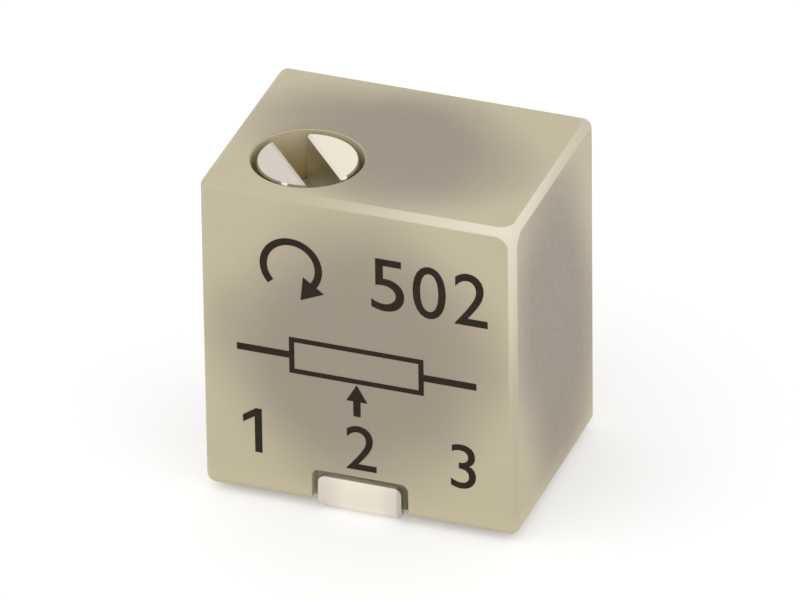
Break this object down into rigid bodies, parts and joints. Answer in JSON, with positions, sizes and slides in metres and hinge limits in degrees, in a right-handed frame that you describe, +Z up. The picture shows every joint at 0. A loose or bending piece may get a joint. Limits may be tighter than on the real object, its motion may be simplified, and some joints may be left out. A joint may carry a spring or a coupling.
{
  "type": "trimmer potentiometer",
  "caption": "Small square surface-mount trimmer potentiometer, adjusted by a slotted screw in its top, with a worm-driven sprung wiper on a round track inside.",
  "frame": {"origin": "on the board, in the plane of the leads' undersides, under the centre of the body", "axes": "+Z up, out of the face that holds the adjusting screw; -Y out of the front face, where the middle lead hooks up; +X to the right as the front is seen"},
  "size_m": [0.0048, 0.0036, 0.0052],
  "materials": {
    "case": "moulded, matt, glass filled",
    "cover": "moulded, matt",
    "ceramic": "fired white ceramic",
    "cermet": "fired dark glassy film",
    "silver_print": "fired silver film",
    "tinned_lead": "bright tin over copper alloy",
    "solder": "solder",
    "sealant": "cured resin",
    "clip_steel": "stamped spring steel",
    "plated_screw": "nickel plated brass",
    "seal_rubber": "moulded rubber",
    "wheel_plastic": "moulded, satin",
    "carrier_plastic": "moulded, matt",
    "wiper_alloy": "bright spring alloy"
  },
  "bodies": {
    "case": {"housing": "case", "rear_cover": "cover", "ceramic_plate": "ceramic", "resistive_track": "cermet", "collector_track": "silver_print", "end_pad_1": "silver_print", "end_pad_3": "silver_print", "lead_1": "tinned_lead", "lead_2": "tinned_lead", "lead_3": "tinned_lead", "solder_joint_1": "solder", "solder_joint_2": "solder", "solder_joint_3": "solder", "lead_sealant": "sealant", "screw_clip": "clip_steel"},
    "screw": {"adjusting_screw": "plated_screw", "seal_ring": "seal_rubber"},
    "rotor": {"worm_wheel": "wheel_plastic", "wiper_carrier": "carrier_plastic", "wiper": "wiper_alloy"}
  },
  "joints": [
    {"name": "screw_turn", "type": "hinge", "parent": "case", "child": "screw", "pos_m": [-0.00112, -0.00068, 0.003], "axis": [0, 0, 1], "range_deg": [-1980, 1980]},
    {"name": "wiper_turn", "type": "hinge", "parent": "case", "child": "rotor", "pos_m": [0.00054, -0.00068, 0.00227], "axis": [0, 1, 0], "range_deg": [-142, 142]}
  ],
  "couplings": [
    {"joint": "wiper_turn", "follows": "screw_turn", "ratio": -0.071429}
  ]
}
